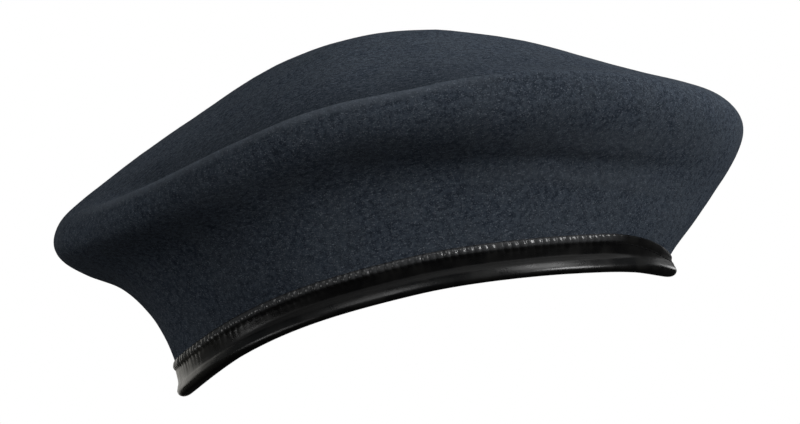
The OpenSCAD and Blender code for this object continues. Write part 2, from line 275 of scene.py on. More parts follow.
def stitches(name, runs, radius, material, sides=8):
    """Twisted threads: each run is a short path that dives under the surface at both ends."""
    points, faces = [], []
    for path in runs:
        n = len(path)
        _, across, up = frames_along(path)
        t = np.arange(sides) * 2 * np.pi / sides
        along = np.linspace(0, 1, n)
        taper = 1 - 0.35 * np.abs(2 * along - 1) ** 4
        twist = 1 + 0.16 * np.cos(2 * t[None, :] + 9 * along[:, None])
        size = radius * taper[:, None] * twist
        ring = (
            path[:, None, :]
            + size[..., None] * np.cos(t)[None, :, None] * across[:, None, :]
            + size[..., None] * np.sin(t)[None, :, None] * up[:, None, :]
        )
        start = len(points) * n * sides
        points.append(ring.reshape(-1, 3))
        faces += grid_faces(n, sides, False, True, start)
        faces += [[start + j for j in range(sides)]]
        faces += [[start + (n - 1) * sides + j for j in range(sides - 1, -1, -1)]]
    return new_object(name, np.concatenate(points), faces, material)


def lathe(name, profile, place, material, sides=64):
    """A turned solid: profile is a closed loop of (radius, height), and place puts +Z along its axis."""
    t = np.arange(sides) * 2 * np.pi / sides
    profile = np.array(profile)
    loops = np.stack(
        [
            profile[None, :, 0] * np.cos(t)[:, None],
            profile[None, :, 0] * np.sin(t)[:, None],
            np.broadcast_to(profile[None, :, 1], (sides, len(profile))),
        ],
        -1,
    )
    flat = np.concatenate([loops.reshape(-1, 3), np.ones((loops.size // 3, 1))], 1)
    spun = (flat @ np.array(place).T)[:, :3].reshape(loops.shape)
    return loft(name, spun, material, True)


def punch(piece, places, radius):
    """Cuts a round hole through a piece at each place."""
    for k, place in enumerate(places):
        bm = bmesh.new()
        bmesh.ops.create_cone(
            bm, cap_ends=True, segments=48, radius1=radius * MM, radius2=radius * MM, depth=0.012
        )
        mesh = bpy.data.meshes.new(f"{piece.name}_punch_{k}")
        bm.to_mesh(mesh)
        bm.free()
        cutter = bpy.data.objects.new(mesh.name, mesh)
        bpy.context.collection.objects.link(cutter)
        matrix = Matrix([list(row) for row in place])
        matrix.translation *= MM
        cutter.matrix_world = matrix
        cut = piece.modifiers.new("punch", "BOOLEAN")
        cut.object = cutter
        cut.operation = "DIFFERENCE"
        cut.solver = "EXACT"
        bpy.context.view_layer.update()
        done = bpy.data.meshes.new_from_object(piece.evaluated_get(bpy.context.evaluated_depsgraph_get()))
        piece.modifiers.clear()
        old = piece.data
        piece.data = done
        bpy.data.meshes.remove(old)
        bpy.data.objects.remove(cutter)
        bpy.data.meshes.remove(mesh)


def paint(piece, name, values):
    """Stores one value on each point of a piece for its material."""
    layer = piece.data.attributes.new(name, "FLOAT", "POINT")
    layer.data.foreach_set("value", np.asarray(values, dtype=np.float32).ravel())


def stand_in(piece, node):
    """The piece replaces its CAD node and rides on the root."""
    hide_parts(node)
    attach(piece, "root")


# ---------------------------------------------------------------- materials
class Nodes:
    """Short calls for building one material's node tree."""

    def __init__(self, name):
        self.material = bpy.data.materials.new(name)
        self.material.use_nodes = True
        self.tree = self.material.node_tree
        self.shader = self.tree.nodes["Principled BSDF"]
        self.coords = self.tree.nodes.new("ShaderNodeTexCoord")

    def put(self, node, socket, value):
        """A value or a link for one socket."""
        if hasattr(value, "is_output"):
            self.tree.links.new(value, node.inputs[socket])
        else:
            node.inputs[socket].default_value = value

    def set(self, **values):
        """Values or links for the shader's own sockets."""
        for key, value in values.items():
            self.put(self.shader, key.replace("_", " "), value)

    def add(self, kind, output, settings=None, **values):
        """A new node with its settings and inputs; gives one of its outputs."""
        node = self.tree.nodes.new(kind)
        for key, value in (settings or {}).items():
            setattr(node, key, value)
        for key, value in values.items():
            self.put(node, key.replace("_", " "), value)
        return node.outputs[output]

    def place(self, turn_by=(0, 0, 0), scale=(1000, 1000, 1000), source=None):
        """The position in millimetres, which may be turned or stretched."""
        source = source or self.coords.outputs["Object"]
        return self.add("ShaderNodeMapping", "Vector", Vector=source, Rotation=turn_by, Scale=scale)

    def noise(self, vector, scale, detail=2.0, rough=0.5, distortion=0.0, output="Fac"):
        return self.add(
            "ShaderNodeTexNoise", output,
            Vector=vector, Scale=scale, Detail=detail, Roughness=rough, Distortion=distortion,
        )

    def ramp(self, fac, low, high, to=(0.0, 1.0)):
        """Smooth step of a value between two limits."""
        node = self.tree.nodes.new("ShaderNodeMapRange")
        node.interpolation_type = "SMOOTHSTEP"
        sockets = ("Value", "From Min", "From Max", "To Min", "To Max")
        for socket, value in zip(sockets, (fac, low, high, *to)):
            self.put(node, socket, value)
        return node.outputs["Result"]

    def math(self, operation, a, b=0.0):
        node = self.tree.nodes.new("ShaderNodeMath")
        node.operation = operation
        self.put(node, 0, a)
        self.put(node, 1, b)
        return node.outputs[0]

    def mix(self, fac, a, b):
        node = self.tree.nodes.new("ShaderNodeMix")
        node.data_type = "RGBA"
        self.put(node, 0, fac)
        self.put(node, 6, a)
        self.put(node, 7, b)
        return node.outputs[2]

    def vector_math(self, operation, socket, a, b):
        """Combines two vectors, the second in the socket that is named."""
        node = self.tree.nodes.new("ShaderNodeVectorMath")
        node.operation = operation
        self.put(node, 0, a)
        self.put(node, socket, b)
        return node.outputs[0]

    def warp(self, vector, scale, reach):
        """Shifts a position by smooth noise, up to about half the reach each way."""
        shift = self.noise(vector, scale, 2, output="Color")
        centred = self.vector_math("SUBTRACT", 1, shift, (0.5, 0.5, 0.5))
        grown = self.vector_math("SCALE", "Scale", centred, reach)
        return self.vector_math("ADD", 1, vector, grown)

    def painted(self, name):
        """A value stored on the mesh's points."""
        node = self.tree.nodes.new("ShaderNodeAttribute")
        node.attribute_name = name
        return node.outputs["Fac"]

    def bump(self, height, depth_mm, strength=1.0, under=None):
        node = self.tree.nodes.new("ShaderNodeBump")
        node.inputs["Distance"].default_value = depth_mm * MM
        self.put(node, "Strength", strength)
        self.put(node, "Height", height)
        if under is not None:
            self.put(node, "Normal", under)
        return node.outputs["Normal"]


def felt_material():
    """Fulled navy blue-grey wool: short matted fibres that cross in all directions, with a painted
    highlight and painted shade from a value stored on the points.
    """
    n = Nodes("felt")
    mm = n.place()
    bent = n.warp(mm, 0.45, 1.6)
    strands = None
    for turn_by in ((0.5, 0.2, 0.3), (1.3, 2.1, 0.9), (2.4, 0.7, 2.0), (0.2, 1.2, 2.7)):
        stretched = n.place(turn_by, (0.36, 2.5, 2.5), bent)
        strand = n.noise(stretched, 1.0, 2, 0.55)
        strands = strand if strands is None else n.math("MAXIMUM", strands, strand)
    grain = n.noise(mm, 2.0, 3, 0.65)
    clumps = n.noise(mm, 0.55, 3, 0.6)
    patches = n.noise(mm, 0.06, 3, 0.55)
    weight = n.math("ADD", n.math("MULTIPLY", strands, 0.55), n.math("MULTIPLY", grain, 0.45))
    base = n.mix(n.ramp(clumps, 0.32, 0.68), (0.042, 0.054, 0.076, 1), (0.105, 0.131, 0.170, 1))
    tone = n.mix(n.ramp(patches, 0.35, 0.65, (0.0, 0.28)), base, (0.118, 0.140, 0.165, 1))
    fibres = n.mix(n.ramp(weight, 0.56, 0.70, (0.0, 0.75)), tone, (0.38, 0.43, 0.50, 1))
    pits = n.mix(n.ramp(weight, 0.50, 0.40, (0.0, 0.55)), fibres, (0.012, 0.015, 0.022, 1))
    height = n.math("ADD", n.math("MULTIPLY", weight, 0.8), n.math("MULTIPLY", clumps, 0.5))
    # The value stored on the points lightens the fold's crest and the ledge as a painted highlight, and
    # darkens the felt behind the fold and on the crown as painted shade.
    nap_light_and_shade = n.painted("nap_light_and_shade")
    painted_highlight = n.mix(n.ramp(nap_light_and_shade, 0.5, 1.0, (0.0, 0.42)), pits, (0.27, 0.31, 0.36, 1))
    painted_shade = n.mix(n.ramp(nap_light_and_shade, 0.5, 0.0, (0.0, 0.42)), painted_highlight, (0.012, 0.015, 0.020, 1))
    n.set(Base_Color=painted_shade, Roughness=0.95, Normal=n.bump(height, 0.55, 0.8))
    n.set(Specular_IOR_Level=0.03, Diffuse_Roughness=0.9)
    return n.material


def leather_material():
    """Smooth black binding leather with a fine grain, creased where it bends, lighter above the seam as
    worn edge and painted sheen, and olive-grey at the forehead as painted sheen.
    """
    n = Nodes("leather")
    mm = n.place()
    bent = n.warp(mm, 1.5, 0.35)
    cells = n.add("ShaderNodeTexVoronoi", "Distance", {"feature": "F1"}, Vector=bent, Scale=2.1)
    fine = n.noise(mm, 6.0, 3, 0.6)
    creases = n.noise(n.place((0, 0, 0), (0.9, 0.9, 0.16)), 1.0, 3, 0.65, 0.6)
    cloud = n.noise(mm, 0.12, 3, 0.5)
    tone = n.mix(n.ramp(cloud, 0.35, 0.7), (0.0055, 0.0055, 0.0058, 1), (0.0120, 0.0118, 0.0112, 1))
    # Lighter grey on the ruffled strip above the seam: partly a worn raw edge, partly a painted sheen.
    wear_and_sheen_share = n.painted("worn")
    cracked = n.mix(n.ramp(creases, 0.60, 0.76, (0.0, 0.4)), tone, (0.0260, 0.0250, 0.0230, 1))
    rubbed_and_sheen = n.mix(wear_and_sheen_share, cracked, (0.085, 0.087, 0.090, 1))
    # Olive-grey over the forehead's flap: a painted sheen.
    forehead_sheen = n.mix(n.painted("forehead_sheen"), rubbed_and_sheen, (0.105, 0.102, 0.088, 1))
    height = n.math("ADD", n.math("MULTIPLY", cells, 0.5), n.math("MULTIPLY", fine, 0.2))
    grain = n.bump(height, 0.06, 0.6)
    crushed = n.noise(n.place((0, 0, 0), (1.5, 1.5, 0.7)), 1.0, 3, 0.6)
    creased = n.bump(creases, 0.18, 0.45, grain)
    ruffled = n.bump(crushed, 0.7, n.math("MULTIPLY", wear_and_sheen_share, 0.7), creased)
    n.set(Base_Color=forehead_sheen, Normal=ruffled)
    polish = n.math("MULTIPLY", wear_and_sheen_share, 0.08)
    gloss = n.math("SUBTRACT", n.ramp(cloud, 0.3, 0.7, (0.24, 0.34)), polish)
    dulled = n.ramp(n.painted("hollow"), 0.1, 0.8, (0.0, 0.55))
    n.set(Roughness=n.math("ADD", gloss, dulled), Specular_IOR_Level=0.7)
    return n.material


def thread_material(name, colour):
    """Twisted thread, darker between its plies."""
    n = Nodes(name)
    mm = n.place()
    plies = n.noise(n.place((0.4, 0.2, 0.7), (1.5, 7, 7)), 1.0, 2)
    low, high = (tuple(share * c for c in colour) + (1,) for share in (0.55, 1.5))
    n.set(Base_Color=n.mix(n.ramp(plies, 0.35, 0.65), low, high), Normal=n.bump(plies, 0.06, 0.6))
    n.set(Roughness=n.ramp(n.noise(mm, 4.0), 0.3, 0.7, (0.62, 0.82)), Specular_IOR_Level=0.15)
    return n.material


def weave_material(name, dark, light, pitch, rough, sheen):
    """Plain weave along the sheet's own UV, measured in millimetres."""
    n = Nodes(name)
    uv = n.coords.outputs["UV"]
    turns = 2 * math.pi / pitch
    split = n.tree.nodes.new("ShaderNodeSeparateXYZ")
    n.put(split, 0, uv)
    warp = n.math("SINE", n.math("MULTIPLY", split.outputs["X"], turns))
    weft = n.math("SINE", n.math("MULTIPLY", split.outputs["Y"], turns))
    cross = n.math("MULTIPLY", warp, weft)
    slub = n.noise(n.place(), 0.35, 3, 0.6)
    height = n.math("ADD", n.math("MULTIPLY", cross, 0.5), 0.5)
    tone = n.mix(n.ramp(height, 0.1, 0.9), dark, light)
    shade = n.mix(n.ramp(slub, 0.3, 0.7, (0.0, 0.35)), tone, dark)
    n.set(Base_Color=shade, Roughness=rough, Normal=n.bump(height, 0.08, 0.7))
    n.set(Sheen_Weight=sheen, Sheen_Roughness=0.4, Specular_IOR_Level=0.35)
    return n.material


def lacquer_material():
    """Black lacquer on pressed brass, worn through to the brass in scattered patches."""
    n = Nodes("eyelet_lacquer")
    mm = n.place()
    wear = n.ramp(n.noise(mm, 1.1, 5, 0.65), 0.60, 0.70)
    n.set(Base_Color=n.mix(wear, (0.012, 0.013, 0.015, 1), (0.23, 0.17, 0.075, 1)))
    n.set(Metallic=n.math("MULTIPLY", wear, 0.9), Normal=n.bump(n.noise(mm, 2.2, 2), 0.03, 0.5))
    n.set(Roughness=n.ramp(n.noise(mm, 3.0, 3), 0.3, 0.7, (0.22, 0.4)))
    return n.material


def brass_material():
    """Bare brass with dull stains."""
    n = Nodes("washer_brass")
    mm = n.place()
    stain = n.ramp(n.noise(mm, 0.7, 4, 0.6), 0.4, 0.65)
    n.set(Base_Color=n.mix(stain, (0.42, 0.31, 0.13, 1), (0.17, 0.12, 0.055, 1)), Metallic=1.0)
    n.set(Roughness=n.ramp(n.noise(mm, 5.0, 3), 0.3, 0.7, (0.3, 0.55)))
    n.set(Normal=n.bump(n.noise(mm, 6.0, 3), 0.02, 0.5))
    return n.material


FELT = felt_material()
LEATHER = leather_material()
THREAD = thread_material("thread_black", (0.008, 0.008, 0.009))
LABEL_THREAD = thread_material("thread_grey", (0.30, 0.29, 0.26))
CORD = thread_material("cord_black", (0.016, 0.016, 0.018))
LINING = weave_material("lining_cloth", (0.014, 0.016, 0.020, 1), (0.045, 0.049, 0.058, 1), 0.5, 0.45, 0.25)
BUCKRAM = weave_material("buckram", (0.020, 0.019, 0.016, 1), (0.10, 0.095, 0.08, 1), 1.4, 0.85, 0.0)
LABEL = weave_material("label_weave", (0.38, 0.37, 0.33, 1), (0.66, 0.64, 0.58, 1), 0.6, 0.7, 0.1)
LACQUER = lacquer_material()
BRASS = brass_material()


def lay_uv(piece, across):
    """UV in millimetres: arc round the opening and distance up the sheet, from the point's own place."""
    mesh = piece.data
    layer = mesh.uv_layers.new(name="sheet")
    spots = np.empty(len(mesh.vertices) * 3)
    mesh.vertices.foreach_get("co", spots)
    spots = spots.reshape(-1, 3) / MM
    corner = np.empty(len(mesh.loops), int)
    mesh.loops.foreach_get("vertex_index", corner)
    starts = np.empty(len(mesh.polygons), int)
    mesh.polygons.foreach_get("loop_start", starts)
    sizes = np.empty(len(mesh.polygons), int)
    mesh.polygons.foreach_get("loop_total", sizes)
    turned = np.arctan2(spots[:, 1], spots[:, 0])[corner]
    first = np.repeat(turned[starts], sizes)
    turned = first + (turned - first + np.pi) % (2 * np.pi) - np.pi  # no jump where the angle wraps round
    reach = np.hypot(spots[:, 0], spots[:, 1])
    layer.data.foreach_set("uv", np.stack([turned * across, (reach - spots[:, 2])[corner]], -1).ravel())


# ---------------------------------------------------------------- felt crown
FELT_T = 2.0
FELT_COLUMNS = 240
FELT_ROWS = np.concatenate([np.linspace(0, 2, 24, endpoint=False), np.linspace(2, 8.5, 70, endpoint=False),
                            np.linspace(8.5, TOP_ROW - 0.12, 22)])
VENT_ROW = 4.5
VENT_HOLE = 3.05
LUMP_START, LUMP_FADE = 14, 12  # the binding holds the felt even below this height
VENT_ANGLES = (RIGHT + 15, RIGHT - 15)


def vent_place(angle):
    """4 x 4 matrix in millimetres that puts +Z out of the felt at a vent."""
    a = np.array([float(angle)])
    spot, out = spline(controls(a), np.array([VENT_ROW]))
    origin = lift_to_3d(a, spot)[0, 0]
    c = math.radians(angle)
    z = np.array([out[0, 0, 0] * math.cos(c), out[0, 0, 0] * math.sin(c), out[0, 0, 1]])
    y = np.array([-math.sin(c), math.cos(c), 0])
    place = np.eye(4)
    place[:3, 0], place[:3, 1], place[:3, 2], place[:3, 3] = np.cross(y, z), y, z, origin
    return place


VENTS = [vent_place(a) for a in VENT_ANGLES]


def peak(s, row, half):
    """Bell-shaped peak over the rows, 1 at its row."""
    return np.exp(-(((s - row) / half) ** 2))


def plateau(a, centre, flat, fade):
    """1 within an angle of the centre, and fading to 0 over another."""
    return bell(np.clip(np.abs(turn(a, centre)) - flat, 0, None) / fade)


def fold(a, s):
    """Height in millimetres of the fold along the rim, and of the ledge low on the wall."""
    crest = 2.1 * peak(s, 7.12, 0.21) - 1.2 * peak(s, 7.70, 0.38)
    ledge = 1.0 * peak(s, 3.75, 0.33) - 0.6 * peak(s, 4.32, 0.20)
    return plateau(a, 254, 28, 40)[:, None] * crest + plateau(a, 316, 0, 42)[:, None] * ledge


def felt_light_and_shade(a, s):
    """Painted light on the felt: a painted highlight (above 0) on the fold's crest and the ledge, and
    painted shade (below 0) behind the fold and on the crown.
    """
    crest = 0.5 * peak(s, 7.05, 0.17) - 0.34 * peak(s, 7.95, 0.65)
    crown = 0.20 * peak(s, 8.9, 0.9)
    ledge = 0.24 * peak(s, 3.75, 0.45) + 0.22 * peak(s, 4.95, 0.5)
    folded = plateau(a, 245, 28, 34)[:, None] * crest
    return folded - plateau(a, 275, 45, 35)[:, None] * crown + plateau(a, 312, 0, 42)[:, None] * ledge


def felt_crown():
    """The felt, with its fold, its ledge and slight lumps, dented a little under each vent."""
    a = np.arange(FELT_COLUMNS) * 360 / FELT_COLUMNS
    spot, out = spline(controls(a), FELT_ROWS)
    outer = lift_to_3d(a, spot)
    normal = lift_to_3d(a, out)
    height = outer[..., 2] - ring_z(a)[:, None]
    free = np.clip((height - LUMP_START) / LUMP_FADE, 0, 1)
    lumps = 0.55 * ripple(outer, 26, 3.1) + 0.16 * ripple(outer, 9, 7.7)
    outer = outer + (free * lumps + fold(a, FELT_ROWS))[..., None] * normal
    for place in VENTS:
        away = np.linalg.norm(outer - place[:3, 3], axis=-1)
        outer = outer - (0.35 * np.exp(-((away / 6) ** 2)))[..., None] * normal
    inner = outer - FELT_T * normal
    top = np.array([0, 0, outer[:, -1, 2].mean() + 0.01])
    piece = shell("felt_crown_cloth", outer, inner, FELT, True, [top, top - [0, 0, FELT_T]])
    # Painted highlight on the fold's crest and the ledge, and painted shade behind the fold and on the
    # crown, stored on the felt's points.
    nap_light_and_shade = 0.5 + felt_light_and_shade(a, FELT_ROWS)
    paint(piece, "nap_light_and_shade", np.concatenate([nap_light_and_shade.ravel(), np.full(nap_light_and_shade.size + 2, 0.5)]))
    punch(piece, VENTS, VENT_HOLE)
    stand_in(piece, "felt_crown")
    return piece


# ---------------------------------------------------------------- leather binding
BEAD_H = 5.0
# The leather's section. Offsets are from the felt wall, and heights from the binding's bottom; a flap's
# heights are shares of its own height above the bead.
BEAD = [
    (0.75, 5.7), (1.5, 4.8), (2.25, 3.4), (2.7, 1.9), (2.3, 0.6), (1.0, 0),
    (-0.7, 0), (-2.2, 0.5), (-3.3, 1.6), (-3.75, 3.3), (-3.8, 5),
]
BEAD_FACE = 5  # how many of the bead's points are on the visible face
OUTER_FLAP = [(0.8, 1), (1.35, 0.74), (0.95, 0.47), (0.65, 0.2)]
# Where the binding is pulled tight, at the nape and the forehead, the flap flares smoothly into the bead.
LOOSE_BEAD = [(1.75, 5.3), (2.15, 4.5), (2.6, 3.4), (2.95, 2.2), (2.4, 0.8)]
LOOSE_FLAP = [(0.25, 1), (0.95, 0.74), (1.1, 0.47), (1.35, 0.2)]
INNER_FLAP = [(-3.8, 0.4), (-3.75, 0.86)]
BAND_TOP, BAND_TOP_BACK, BACK_HALF = 14.3, 8.0, 42
LEATHER_T = 0.6
SEAM_DROP = 3.3
STITCHES = 190
SAMPLES_PER_STITCH = 8
SECTION_SAMPLES, FACE_SAMPLES = 52, 27  # round the whole section, and on its visible face
JOIN_GAP = 0.12  # degrees from each end of the strip to the middle of the nape
JOIN_STITCHES = 4
INSIDE = -3.8  # offset of the inner face, where the inner seam is
SEAM_INSIDE = 0.6  # the inner seam's share of the flap's height


def band_top(a):
    """Height of the binding's top edge, which is lower at the nape."""
    return BAND_TOP - (BAND_TOP - BAND_TOP_BACK) * bell(turn(a, BACK) / BACK_HALF)


def loose(a):
    """1 at the nape and the forehead, and 0 along the sides."""
    return np.maximum(plateau(a, BACK, 22, 22), plateau(a, FOREHEAD, 20, 34))


def face_profile(a):
    """Offset and height of the leather's visible face at its key points: angles x points each."""
    tight = np.concatenate([flap_points(a, OUTER_FLAP), bead_points(a, BEAD[:BEAD_FACE])], 1)
    slack = np.concatenate([flap_points(a, LOOSE_FLAP), bead_points(a, LOOSE_BEAD)], 1)
    share = loose(a)[:, None, None]
    return (1 - share) * tight + share * slack


def flap_h(a, share):
    """Height of a share of the flap."""
    return BEAD_H + share * (band_top(a) - BEAD_H)


def flap_points(a, keys):
    """Points of a flap at each angle: angles x points x 2."""
    return np.stack([np.stack([np.full(len(a), off), flap_h(a, share)], -1) for off, share in keys], 1)


def bead_points(a, keys):
    """Points that are the same at every angle: angles x points x 2."""
    return np.broadcast_to(np.array(keys, float), (len(a), len(keys), 2))


def wall_r(a, h):
    """Radius of the felt wall at heights h above the binding's bottom: angles x heights."""
    rows = np.linspace(0, 2.5, 21)
    spot, _ = spline(controls(a), rows)
    radii = np.empty(h.shape)
    for i in range(len(a)):
        keys = np.concatenate([[0], spot[i, :, 1] - ring_z(a[i : i + 1])])
        radii[i] = np.interp(h[i], keys, np.concatenate([ring_r(a[i : i + 1]), spot[i, :, 0]]))
    return radii


def smooth_path(path, count):
    """Catmull-Rom curve through points: angles x points x 2 to angles x count x 2."""
    n = path.shape[1]
    padded = np.concatenate([2 * path[:, :1] - path[:, 1:2], path, 2 * path[:, -1:] - path[:, -2:-1]], 1)
    s = np.linspace(0, n - 1, count)
    i = np.minimum(s.astype(int), n - 2)
    t = (s - i)[None, :, None]
    p0, p1, p2, p3 = (padded[:, i + k] for k in range(4))
    square = 2 * p0 - 5 * p1 + 4 * p2 - p3
    cube = 3 * p1 - p0 - 3 * p2 + p3
    return 0.5 * (2 * p1 + (p2 - p0) * t + square * t**2 + cube * t**3)


def across_path(path):
    """Directions into the leather from its visible face."""
    way = np.gradient(path, axis=1)
    side = np.stack([way[..., 1], -way[..., 0]], -1)
    return side / np.linalg.norm(side, axis=-1, keepdims=True)


random.seed(11)
RUFFLE = np.array([random.uniform(0.45, 1.25) for _ in range(STITCHES)])
SLANT = np.array([random.uniform(-0.28, 0.28) for _ in range(STITCHES)])


def puckered(a):
    """1 where the seam ruffles the leather, and 0 at the nape where the leather is pulled tight."""
    return np.clip((np.abs(turn(a, BACK)) - 33) / 9, 0, 1)


def pucker(a, h, seam_h, top_h):
    """Height in millimetres that the leather stands proud at the seam: ruffles above it, pulls below it."""
    position = a / 360 * STITCHES
    index = np.floor(position).astype(int) % STITCHES
    above = np.clip((h - seam_h) / (top_h - seam_h), 0, 1)
    phase = position[:, None] - np.floor(position)[:, None] + SLANT[index][:, None] * above
    ridge = np.abs(np.sin(np.pi * phase)) ** 0.7
    tight = puckered(a)
    size = (RUFFLE[index] * tight)[:, None]
    over = np.where(h > seam_h, np.sin(np.pi * np.clip(0.30 + 0.55 * above, 0, 1)), 0)
    ruffle = size * over * (0.85 * ridge - 0.12)
    under = np.where(h <= seam_h, np.exp(-(seam_h - h) / 1.5), 0)
    pull = -0.30 * size * under * (1 - ridge)
    groove = -(0.10 + 0.25 * tight[:, None]) * np.exp(-(((h - seam_h) / 0.45) ** 2))
    return ruffle + pull + groove


def creases(a, h):
    """Upright wrinkles in the leather, strongest at the forehead."""
    strength = 0.04 + 0.15 * bell(turn(a, 196) / 34) + 0.05 * bell(turn(a, 350) / 30)
    arc = np.radians(a) * 90
    broad = np.array([noise.noise(Vector((x / 4.2, 0, 5.5))) for x in arc])
    narrow = np.array([noise.noise(Vector((x / 1.9, 3, 0))) for x in arc])
    on_flap = bell((h - 8.0) / 6.5)
    return (strength * (broad + 0.5 * narrow))[:, None] * on_flap


def leather_strip():
    """One folded strip round the opening, with its two ends meeting at the nape."""
    a = np.linspace(JOIN_GAP, 360 - JOIN_GAP, STITCHES * SAMPLES_PER_STITCH)
    under = bead_points(a, BEAD[BEAD_FACE:])
    section = np.concatenate([face_profile(a), under, flap_points(a, INNER_FLAP)], 1)
    off, h = section[..., 0], section[..., 1]
    path = np.stack([wall_r(a, h) + off, ring_z(a)[:, None] + h], -1)
    fine = smooth_path(path, SECTION_SAMPLES)
    into = across_path(fine)
    height = fine[..., 1] - ring_z(a)[:, None]
    visible = (np.arange(SECTION_SAMPLES) < FACE_SAMPLES)[None, :]
    seam = (band_top(a) - SEAM_DROP)[:, None]
    top = band_top(a)[:, None]
    proud = np.where(visible, pucker(a, height, seam, top) + creases(a, height), 0)
    face = fine - proud[..., None] * into
    skived = LEATHER_T - 0.25 * np.clip((height - seam) / SEAM_DROP, 0, 1) * visible
    back = (fine + skived[..., None] * into)[:, ::-1][:, 2:-2:4]
    loops = lift_to_3d(a, np.concatenate([face, back], 1))
    piece = loft("leather_binding_strip", loops, LEATHER, False)
    # Lighter on the ruffled strip above the seam: partly a worn edge, partly painted sheen.
    rubbed_and_sheen = np.clip((height - seam - 0.2) / 0.7, 0, 1) * puckered(a)[:, None]
    # Olive-grey over the forehead's flap, rising from the bottom edge: painted sheen.
    forehead_sheen = 0.75 * plateau(a, FOREHEAD, 0, 42)[:, None] * np.clip((height + 2) / 4, 0, 1)
    nape = plateau(a, BACK, 0, 44)[:, None] * np.clip((height - 2.2) / 1.2, 0, 1)
    hollow = np.maximum(peak(height, 5.9, 1.1) * (1 - loose(a))[:, None], 0.62 * nape)
    blank = np.zeros(back.shape[:2])
    for name, values in (("worn", rubbed_and_sheen), ("forehead_sheen", forehead_sheen), ("hollow", hollow)):
        paint(piece, name, np.concatenate([values * visible, blank], 1))
    stand_in(piece, "leather_binding")
    return piece


def face_out(a, h):
    """Distance of the leather's outer face from the felt wall."""
    keys = face_profile(np.array([float(a)]))[0, ::-1]
    return float(np.interp(h, keys[:, 1], keys[:, 0]))


def binding_point(a, h, lift, inside=False):
    """A point over the leather's outer face, or over its inner one."""
    angle = np.array([a % 360])
    side = INSIDE - lift if inside else face_out(a % 360, h) + lift
    r = wall_r(angle, np.array([[h]]))[0, 0] + side
    return lift_to_3d(angle, np.array([[[r, ring_z(angle)[0] + h]]]))[0, 0]


def seam_runs(share, lifts, inside):
    """One short path for each stitch of the binding."""
    runs = []
    steps = np.linspace(0, 1, len(lifts))
    for i in range(STITCHES):
        path = []
        for t, lift in zip(steps, lifts):
            a = (i + 0.5 * (1 - share) + share * t) * 360 / STITCHES
            here = np.array([a])
            h = flap_h(here, SEAM_INSIDE)[0] if inside else float(band_top(here)[0]) - SEAM_DROP
            sunk = 0.0 if inside else 0.10 + 0.06 * (1 - puckered(here)[0])
            path.append(binding_point(a, h, lift - sunk, inside))
        runs.append(np.array(path))
    return runs


def binding_threads():
    """The two seams of the binding, and the stitches that join its ends."""
    dive = (-0.45, -0.15, 0.0, 0.05, 0.05, 0.0, -0.15, -0.45)
    outer = stitches("outer_seam_stitches", seam_runs(1.0, dive, False), 0.21, THREAD)
    stand_in(outer, "outer_seam_thread")
    rise = (-0.3, 0.05, 0.16, 0.2, 0.2, 0.16, 0.05, -0.3)
    inner = stitches("inner_seam_stitches", seam_runs(0.8, rise, True), 0.2, THREAD)
    stand_in(inner, "inner_seam_thread")
    runs = []
    for k in range(JOIN_STITCHES):
        low = 2.0 + 1.25 * k
        steps = np.linspace(-1, 1, 8)
        over = [binding_point(t, low + 0.35 * t, 0.22 - 0.6 * abs(t) ** 4) for t in steps]
        runs.append(np.array(over))
    join = stitches("join_seam_stitches", runs, 0.2, THREAD)
    stand_in(join, "join_seam_thread")


# ---------------------------------------------------------------- drawstring
CORD_R = 0.92
CORD_IN, CORD_UP = 0.5, 2.2  # its place inside the bead


def drawstring():
    """A braided cord in the bead, thicker at its knot at the nape."""
    sides, count = 12, 900
    a = np.arange(count) * 360 / count
    t = np.arange(sides) * 2 * np.pi / sides
    arc = np.radians(a) * 92
    weave = 0.13 * np.sin(2 * t[None, :] + arc[:, None] * 2.2) * np.sin(2 * t[None, :] - arc[:, None] * 2.2)
    knot = 0.42 * bell(turn(a, BACK) / 1.0)[:, None]
    size = CORD_R + weave + knot
    centre = np.stack([ring_r(a) - CORD_IN, ring_z(a) + CORD_UP], -1)
    loops = centre[:, None, :] + np.stack([size * np.cos(t), size * np.sin(t)], -1)
    piece = loft("drawstring_braid", lift_to_3d(a, loops), CORD, True)
    stand_in(piece, "drawstring")


# ---------------------------------------------------------------- lining, stiffener and label
LINING_LOW, LINING_DEEP, LINING_T = 2.25, 3.4, 0.3
LINING_STITCHES = 240
GATHERS, GATHER_DEPTH = 150, 0.16
STIFFENER_DEPTH, STIFFENER_T = 2.3, 0.7
STIFFENER_ANGLES, STIFFENER_ROWS = (205, 245), (2, 5)
LABEL_DEPTH, LABEL_T = 5.15, 0.3
LABEL_ANGLES, LABEL_ROWS = (-10, 10), (2.5, 3.5)
LABEL_STITCHES, LABEL_SEAM_ROWS, LABEL_SEAM_REACH = 14, (2.58, 3.42), 9.4


def lining_depth(s):
    """Depth of the side panel, which comes closer to the felt in the binding."""
    return LINING_LOW + (LINING_DEEP - LINING_LOW) * (1 - bell(np.clip(s - 1, 0, 1)))


def lining_panel(columns, rows, sag_of, depth):
    """Outer and inner grids of a lining panel: it sags from its depth, and gathers at the rim's seam."""
    a = np.arange(columns) * 360 / columns
    spot, out = spline(controls(a), rows)
    pleats = GATHER_DEPTH * np.sin(np.radians(a) * GATHERS)
    gather = pleats[:, None] * bell((rows - RIM_ROW) / 1.1)[None, :]
    depth = depth + 0.1 + sag_of(lift_to_3d(a, spot)) + np.abs(gather)
    outer = lift_to_3d(a, spot - depth[..., None] * out)
    inner = lift_to_3d(a, spot - (depth + LINING_T)[..., None] * out)
    return outer, inner


